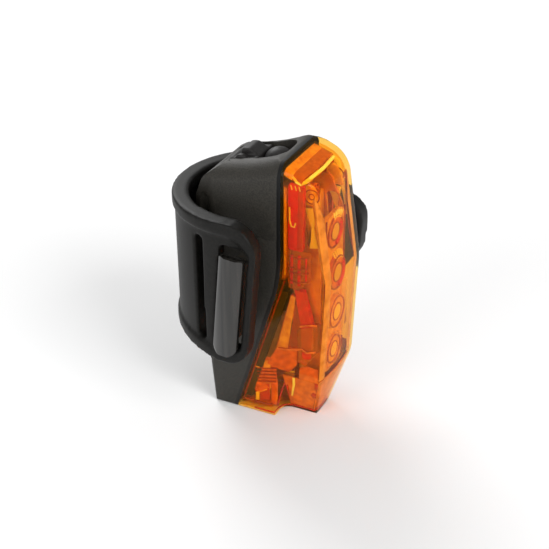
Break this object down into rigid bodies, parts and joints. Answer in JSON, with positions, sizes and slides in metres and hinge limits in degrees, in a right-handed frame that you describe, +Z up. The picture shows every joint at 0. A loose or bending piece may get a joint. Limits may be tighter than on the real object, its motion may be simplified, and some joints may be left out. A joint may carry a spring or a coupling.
{
  "type": "bicycle tail light",
  "caption": "Bicycle tail light with a wrap-round amber red lens, laser pods at the foot, a power button, a covered charging socket and a hooked rubber strap for the seat post.",
  "frame": {"origin": "on the flat bottom, in the plane of symmetry of housing and lens, 12.9 mm behind the toe", "axes": "+Z up along the seat post, -Y the way the lens faces, +X the side of the strap's free end"},
  "size_m": [0.0507, 0.0449, 0.0717],
  "materials": {
    "housing": "fine speckled satin",
    "lens": "clear amber red, polished",
    "gasket": "satin",
    "strap": "satin",
    "saddle": "satin",
    "hook": "polished",
    "button": "satin",
    "black_plastic": "satin",
    "steel": "satin",
    "board": "satin",
    "lamp_board": "white solder mask",
    "chip": "matt",
    "led": "pale yellow",
    "optic": "clear, polished",
    "red": "deep red, translucent",
    "amber": "orange, translucent",
    "bright": "metallised, warm",
    "cell": "foil pouch, satin",
    "foam": "soft foam",
    "lead": "insulated wire",
    "brass": "turned",
    "laser_glass": "clear, polished"
  },
  "bodies": {
    "light": {"battery_cell": "cell", "battery_foam": "foam", "battery_leads": "lead", "board_chips": "chip", "diffuser_clip_left": "amber", "diffuser_clip_right": "amber", "frame_screws": "steel", "lamp_frame": "black_plastic", "laser_board": "board", "laser_bracket_left": "amber", "laser_bracket_right": "amber", "laser_collar_left": "red", "laser_collar_right": "red", "laser_leads": "lead", "laser_lens_left": "laser_glass", "laser_lens_right": "laser_glass", "laser_module_left": "brass", "laser_module_right": "brass", "led_board": "lamp_board", "led_board_screws": "steel", "led_optics": "optic", "leds": "led", "lens": "lens", "lens_gasket": "gasket", "main_board": "board", "pipe_socket_left": "amber", "pipe_socket_right": "amber", "post_saddle": "saddle", "rear_housing": "housing", "red_diffuser_left": "red", "red_diffuser_right": "red", "red_light_pipe_left": "red", "red_light_pipe_right": "red", "side_reflector_left": "bright", "side_reflector_right": "bright", "strap_band": "strap", "strap_hook_left": "hook", "strap_hook_right": "hook", "tact_switch": "black_plastic", "top_board": "board", "usb_socket": "steel"},
    "power_button": {"power_button": "button", "switch_plunger": "black_plastic"},
    "socket_cover": {"usb_cover": "button"},
    "strap_end": {"strap_tail": "strap"}
  },
  "joints": [
    {"name": "button_press", "type": "slide", "parent": "light", "child": "power_button", "axis": [0, -0.1736, -0.9848], "range_m": [0, 0.0006], "stiffness_N_per_m": 1500},
    {"name": "cover_hinge", "type": "hinge", "parent": "light", "child": "socket_cover", "pos_m": [0, 0.00931, 0.06726], "axis": [-1, 0, 0], "range_deg": [0, 110], "stiffness_Nm_per_rad": 0.002},
    {"name": "strap_end_bend", "type": "hinge", "parent": "light", "child": "strap_end", "pos_m": [0.01927, 0.0094, 0.03988], "axis": [0, 0.0175, 0.9998], "range_deg": [0, 80], "stiffness_Nm_per_rad": 0.02}
  ]
}
